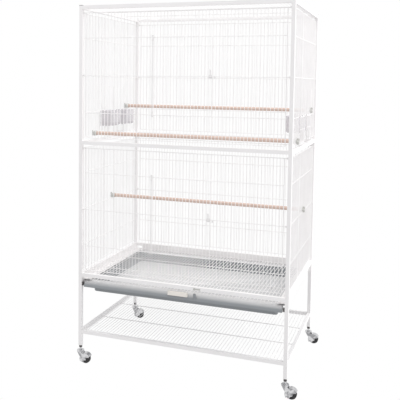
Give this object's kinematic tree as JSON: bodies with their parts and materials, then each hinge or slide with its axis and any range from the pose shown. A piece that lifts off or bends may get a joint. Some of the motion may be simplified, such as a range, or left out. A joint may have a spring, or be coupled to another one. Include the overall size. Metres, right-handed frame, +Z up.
{
  "type": "canary breeding cage",
  "caption": "White wire flight cage in two sections on a wheeled stand, with front doors, side feeder cups, wooden perches, a wire floor grille and a pull-out tray.",
  "frame": {"origin": "middle of the whole object's outline seen from above, on the floor under the wheels; the post centres are 13.742 mm further left because the casters trail to the right", "axes": "+Z up, -Y towards the front with the doors and the tray, +X to the right seen from the front"},
  "size_m": [0.8288, 0.5332, 1.332],
  "materials": {
    "white_powder_coat": "satin white powder coat on steel tube",
    "white_wire_coat": "white coating on steel wire and sheet",
    "dark_plastic": "dark moulded plastic",
    "knob_plastic": "grey-beige moulded plastic with a steel screw",
    "perch_wood": "plain turned light hardwood dowel",
    "tray_plastic": "grey moulded plastic",
    "pull_plastic": "cream plastic",
    "cup_plastic": "pale violet-grey translucent plastic",
    "tyre_rubber": "black rubber",
    "hub_plastic": "black moulded plastic",
    "caster_steel": "bright plated steel"
  },
  "bodies": {
    "cage": {"post_front_left": "white_powder_coat", "post_front_right": "white_powder_coat", "post_rear_left": "white_powder_coat", "post_rear_right": "white_powder_coat", "top_frame_rails": "white_powder_coat", "mid_frame_rails": "white_powder_coat", "base_frame_rails": "white_powder_coat", "shelf_frame_rails": "white_powder_coat", "plugs_and_bumpers": "dark_plastic", "feeder_guides": "white_wire_coat", "front_upper_panel": "white_wire_coat", "front_lower_panel": "white_wire_coat", "rear_upper_panel": "white_wire_coat", "rear_lower_panel": "white_wire_coat", "left_upper_panel": "white_wire_coat", "left_lower_panel": "white_wire_coat", "right_upper_panel": "white_wire_coat", "right_lower_panel": "white_wire_coat", "top_panel": "white_wire_coat", "shelf_grid": "white_wire_coat", "tray_runners": "white_wire_coat", "panel_clips": "white_wire_coat", "front_door_fittings": "white_wire_coat", "perch_upper_rear": "perch_wood", "perch_upper_front": "perch_wood", "perch_lower": "perch_wood", "perch_fittings": "knob_plastic", "caster_stems": "caster_steel"},
    "upper_door": {"upper_front_door": "white_wire_coat"},
    "lower_door": {"lower_front_door": "white_wire_coat"},
    "upper_latch": {"upper_door_latch": "white_wire_coat"},
    "lower_latch": {"lower_door_latch": "white_wire_coat"},
    "tray_body": {"tray": "tray_plastic", "tray_handle": "pull_plastic"},
    "grille_body": {"grille": "white_wire_coat"},
    "catch": {"tray_catch": "knob_plastic"},
    "feeder_left_front": {"feeder_door_left_front": "white_wire_coat"},
    "cup_body_left_front": {"cup_left_front": "cup_plastic"},
    "feeder_left_rear": {"feeder_door_left_rear": "white_wire_coat"},
    "cup_body_left_rear": {"cup_left_rear": "cup_plastic"},
    "feeder_right_front": {"feeder_door_right_front": "white_wire_coat"},
    "cup_body_right_front": {"cup_right_front": "cup_plastic"},
    "feeder_right_rear": {"feeder_door_right_rear": "white_wire_coat"},
    "cup_body_right_rear": {"cup_right_rear": "cup_plastic"},
    "swivel_front_left": {"caster_fork_front_left": "caster_steel", "caster_axle_front_left": "caster_steel"},
    "wheel_front_left": {"caster_hub_front_left": "hub_plastic", "caster_tyre_front_left": "tyre_rubber"},
    "swivel_front_right": {"caster_fork_front_right": "caster_steel", "caster_axle_front_right": "caster_steel"},
    "wheel_front_right": {"caster_hub_front_right": "hub_plastic", "caster_tyre_front_right": "tyre_rubber"},
    "swivel_rear_left": {"caster_fork_rear_left": "caster_steel", "caster_axle_rear_left": "caster_steel"},
    "wheel_rear_left": {"caster_hub_rear_left": "hub_plastic", "caster_tyre_rear_left": "tyre_rubber"},
    "swivel_rear_right": {"caster_fork_rear_right": "caster_steel", "caster_axle_rear_right": "caster_steel"},
    "wheel_rear_right": {"caster_hub_rear_right": "hub_plastic", "caster_tyre_rear_right": "tyre_rubber"}
  },
  "joints": [
    {"name": "upper_door_hinge", "type": "hinge", "parent": "cage", "child": "upper_door", "pos_m": [-0.11979, -0.25575, 1.07655], "axis": [0, 0, -1], "range_deg": [0, 110]},
    {"name": "upper_latch_turn", "type": "hinge", "parent": "upper_door", "child": "upper_latch", "pos_m": [0.0945, -0.2574, 1.07655], "axis": [0, 1, 0], "range_deg": [0, 90]},
    {"name": "lower_door_hinge", "type": "hinge", "parent": "cage", "child": "lower_door", "pos_m": [-0.11979, -0.25575, 0.5825], "axis": [0, 0, -1], "range_deg": [0, 110]},
    {"name": "lower_latch_turn", "type": "hinge", "parent": "lower_door", "child": "lower_latch", "pos_m": [0.0945, -0.2574, 0.5825], "axis": [0, 1, 0], "range_deg": [0, 90]},
    {"name": "tray_slide", "type": "slide", "parent": "cage", "child": "tray_body", "axis": [0, -1, 0], "range_m": [0, 0.4]},
    {"name": "grille_slide", "type": "slide", "parent": "cage", "child": "grille_body", "axis": [0, 1, 0], "range_m": [-0.4, 0]},
    {"name": "catch_turn", "type": "hinge", "parent": "cage", "child": "catch", "pos_m": [0.04942, -0.26, 0.33595], "axis": [0, 1, 0], "range_deg": [0, 90]},
    {"name": "feeder_left_front_lift", "type": "slide", "parent": "cage", "child": "feeder_left_front", "axis": [0, 0, 1], "range_m": [0, 0.08]},
    {"name": "cup_left_front_lift", "type": "slide", "parent": "cage", "child": "cup_body_left_front", "axis": [0, 0, 1], "range_m": [0, 0.03]},
    {"name": "feeder_left_rear_lift", "type": "slide", "parent": "cage", "child": "feeder_left_rear", "axis": [0, 0, 1], "range_m": [0, 0.08]},
    {"name": "cup_left_rear_lift", "type": "slide", "parent": "cage", "child": "cup_body_left_rear", "axis": [0, 0, 1], "range_m": [0, 0.03]},
    {"name": "feeder_right_front_lift", "type": "slide", "parent": "cage", "child": "feeder_right_front", "axis": [0, 0, 1], "range_m": [0, 0.08]},
    {"name": "cup_right_front_lift", "type": "slide", "parent": "cage", "child": "cup_body_right_front", "axis": [0, 0, 1], "range_m": [0, 0.03]},
    {"name": "feeder_right_rear_lift", "type": "slide", "parent": "cage", "child": "feeder_right_rear", "axis": [0, 0, 1], "range_m": [0, 0.08]},
    {"name": "cup_right_rear_lift", "type": "slide", "parent": "cage", "child": "cup_body_right_rear", "axis": [0, 0, 1], "range_m": [0, 0.03]},
    {"name": "swivel_front_left_turn", "type": "hinge", "parent": "cage", "child": "swivel_front_left", "pos_m": [-0.40089, -0.25315, 0.046], "axis": [0, 0, 1], "continuous": true},
    {"name": "wheel_front_left_roll", "type": "hinge", "parent": "swivel_front_left", "child": "wheel_front_left", "pos_m": [-0.37889, -0.25315, 0.0185], "axis": [0, 1, 0], "continuous": true},
    {"name": "swivel_front_right_turn", "type": "hinge", "parent": "cage", "child": "swivel_front_right", "pos_m": [0.37341, -0.25315, 0.046], "axis": [0, 0, 1], "continuous": true},
    {"name": "wheel_front_right_roll", "type": "hinge", "parent": "swivel_front_right", "child": "wheel_front_right", "pos_m": [0.39541, -0.25315, 0.0185], "axis": [0, 1, 0], "continuous": true},
    {"name": "swivel_rear_left_turn", "type": "hinge", "parent": "cage", "child": "swivel_rear_left", "pos_m": [-0.40089, 0.25315, 0.046], "axis": [0, 0, 1], "continuous": true},
    {"name": "wheel_rear_left_roll", "type": "hinge", "parent": "swivel_rear_left", "child": "wheel_rear_left", "pos_m": [-0.37889, 0.25315, 0.0185], "axis": [0, 1, 0], "continuous": true},
    {"name": "swivel_rear_right_turn", "type": "hinge", "parent": "cage", "child": "swivel_rear_right", "pos_m": [0.37341, 0.25315, 0.046], "axis": [0, 0, 1], "continuous": true},
    {"name": "wheel_rear_right_roll", "type": "hinge", "parent": "swivel_rear_right", "child": "wheel_rear_right", "pos_m": [0.39541, 0.25315, 0.0185], "axis": [0, 1, 0], "continuous": true}
  ]
}
